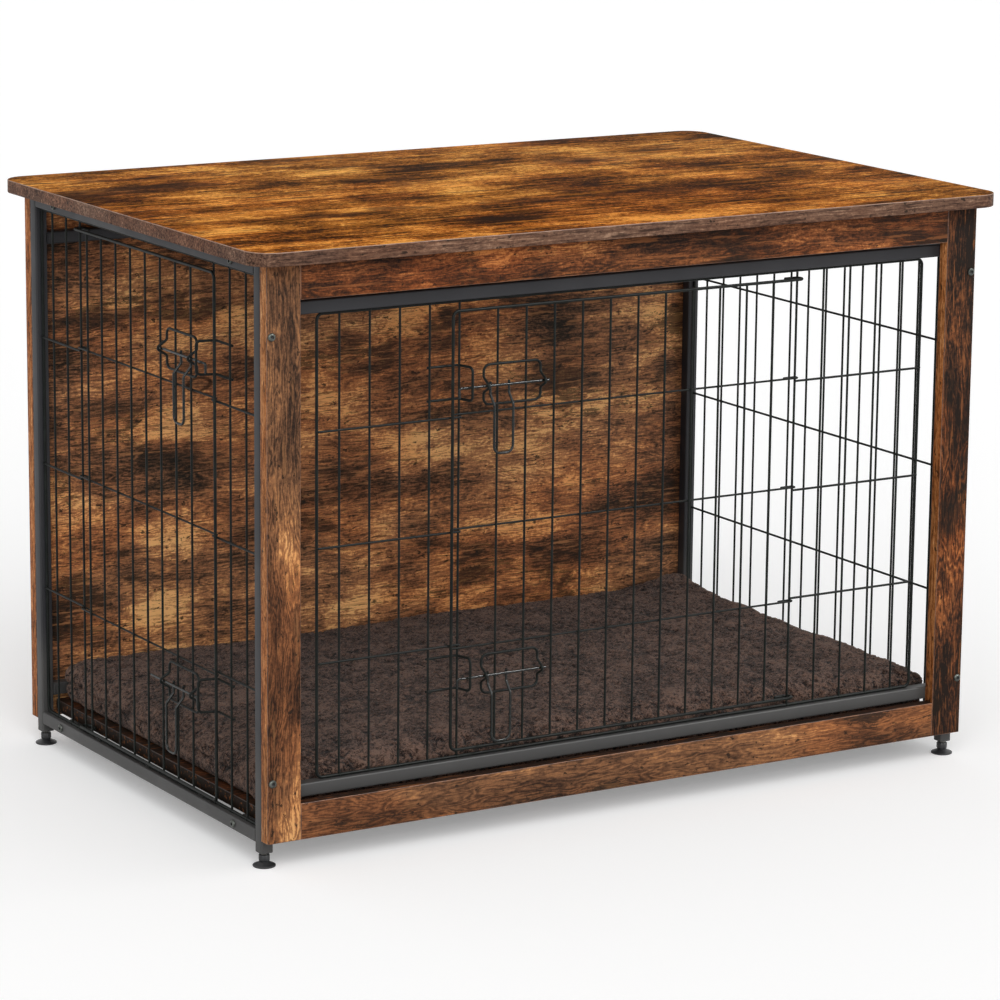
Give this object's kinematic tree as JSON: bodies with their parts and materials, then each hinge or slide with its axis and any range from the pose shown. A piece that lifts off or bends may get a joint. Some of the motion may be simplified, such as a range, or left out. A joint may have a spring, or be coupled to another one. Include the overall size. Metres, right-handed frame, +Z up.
{
  "type": "wire dog crate",
  "caption": "Dog crate made as a side table: steel frame, wire walls, wooden top, front and back boards, two hinged wire doors with slide-bolt latches, and a plush cushion.",
  "frame": {"origin": "on the floor, under the middle of the top board", "axes": "+X to the right as seen from the front, +Y from the front door to the back board, +Z up"},
  "size_m": [0.978, 0.65, 0.681],
  "materials": {
    "wood_top": "satin lacquer",
    "wood_front": "satin lacquer",
    "wood_back": "satin lacquer",
    "steel_frame": "satin powder coat, charcoal",
    "black_wire": "satin black",
    "screw_steel": "brushed",
    "black_plastic": "matte",
    "plush": "curly plush"
  },
  "bodies": {
    "frame": {"top_board": "wood_top", "front_left_post_board": "wood_front", "front_right_post_board": "wood_front", "front_top_rail_board": "wood_front", "front_bottom_rail_board": "wood_front", "back_board": "wood_back", "floor_board": "wood_front", "left_front_post": "steel_frame", "left_back_post": "steel_frame", "left_bottom_rail": "steel_frame", "left_top_rail": "steel_frame", "right_front_post": "steel_frame", "right_back_post": "steel_frame", "right_bottom_rail": "steel_frame", "right_top_rail": "steel_frame", "front_lower_tube": "steel_frame", "front_upper_tube": "steel_frame", "back_lower_tube": "steel_frame", "back_upper_tube": "steel_frame", "front_floor_crossbar": "steel_frame", "front_roof_crossbar": "steel_frame", "back_floor_crossbar": "steel_frame", "back_roof_crossbar": "steel_frame", "front_wire_wall": "black_wire", "left_wire_wall": "black_wire", "right_wire_wall": "black_wire", "front_left_lower_screw": "screw_steel", "front_left_upper_screw": "screw_steel", "left_front_floor_screw": "screw_steel", "left_front_roof_screw": "screw_steel", "left_back_floor_screw": "screw_steel", "left_back_roof_screw": "screw_steel", "front_right_lower_screw": "screw_steel", "front_right_upper_screw": "screw_steel", "right_front_floor_screw": "screw_steel", "right_front_roof_screw": "screw_steel", "right_back_floor_screw": "screw_steel", "right_back_roof_screw": "screw_steel", "cushion": "plush"},
    "front_door": {"front_door": "black_wire"},
    "side_door": {"side_door": "black_wire"},
    "front_upper_bolt": {"front_upper_bolt_rod": "black_wire"},
    "front_upper_pull": {"front_upper_bolt_hook": "black_wire", "front_upper_bolt_handle": "black_wire"},
    "front_lower_bolt": {"front_lower_bolt_rod": "black_wire"},
    "front_lower_pull": {"front_lower_bolt_hook": "black_wire", "front_lower_bolt_handle": "black_wire"},
    "side_upper_bolt": {"side_upper_bolt_rod": "black_wire"},
    "side_upper_pull": {"side_upper_bolt_hook": "black_wire", "side_upper_bolt_handle": "black_wire"},
    "side_lower_bolt": {"side_lower_bolt_rod": "black_wire"},
    "side_lower_pull": {"side_lower_bolt_hook": "black_wire", "side_lower_bolt_handle": "black_wire"},
    "left_front_foot": {"left_front_foot": "black_plastic"},
    "right_front_foot": {"right_front_foot": "black_plastic"},
    "left_back_foot": {"left_back_foot": "black_plastic"},
    "right_back_foot": {"right_back_foot": "black_plastic"}
  },
  "joints": [
    {"name": "front_door_hinge", "type": "hinge", "parent": "frame", "child": "front_door", "pos_m": [0.2298, -0.2805, 0.35], "axis": [0, 0, 1], "range_deg": [0, 160]},
    {"name": "side_door_hinge", "type": "hinge", "parent": "frame", "child": "side_door", "pos_m": [-0.4595, 0.1678, 0.35], "axis": [0, 0, -1], "range_deg": [0, 160]},
    {"name": "front_upper_bolt_slide", "type": "slide", "parent": "front_door", "child": "front_upper_bolt", "axis": [1, 0, 0], "range_m": [0, 0.024]},
    {"name": "front_upper_pull_turn", "type": "hinge", "parent": "front_upper_bolt", "child": "front_upper_pull", "pos_m": [-0.17, -0.2952, 0.51], "axis": [-1, 0, 0], "range_deg": [0, 150]},
    {"name": "front_lower_bolt_slide", "type": "slide", "parent": "front_door", "child": "front_lower_bolt", "axis": [1, 0, 0], "range_m": [0, 0.024]},
    {"name": "front_lower_pull_turn", "type": "hinge", "parent": "front_lower_bolt", "child": "front_lower_pull", "pos_m": [-0.17, -0.2952, 0.183], "axis": [-1, 0, 0], "range_deg": [0, 150]},
    {"name": "side_upper_bolt_slide", "type": "slide", "parent": "side_door", "child": "side_upper_bolt", "axis": [0, 1, 0], "range_m": [0, 0.024]},
    {"name": "side_upper_pull_turn", "type": "hinge", "parent": "side_upper_bolt", "child": "side_upper_pull", "pos_m": [-0.4742, -0.12, 0.54], "axis": [0, 1, 0], "range_deg": [0, 150]},
    {"name": "side_lower_bolt_slide", "type": "slide", "parent": "side_door", "child": "side_lower_bolt", "axis": [0, 1, 0], "range_m": [-0.024, 0]},
    {"name": "side_lower_pull_turn", "type": "hinge", "parent": "side_lower_bolt", "child": "side_lower_pull", "pos_m": [-0.4742, -0.12, 0.161], "axis": [0, 1, 0], "range_deg": [0, 150]},
    {"name": "left_front_foot_height", "type": "slide", "parent": "frame", "child": "left_front_foot", "axis": [0, 0, -1], "range_m": [-0.002, 0.01]},
    {"name": "right_front_foot_height", "type": "slide", "parent": "frame", "child": "right_front_foot", "axis": [0, 0, -1], "range_m": [-0.002, 0.01]},
    {"name": "left_back_foot_height", "type": "slide", "parent": "frame", "child": "left_back_foot", "axis": [0, 0, -1], "range_m": [-0.002, 0.01]},
    {"name": "right_back_foot_height", "type": "slide", "parent": "frame", "child": "right_back_foot", "axis": [0, 0, -1], "range_m": [-0.002, 0.01]}
  ]
}
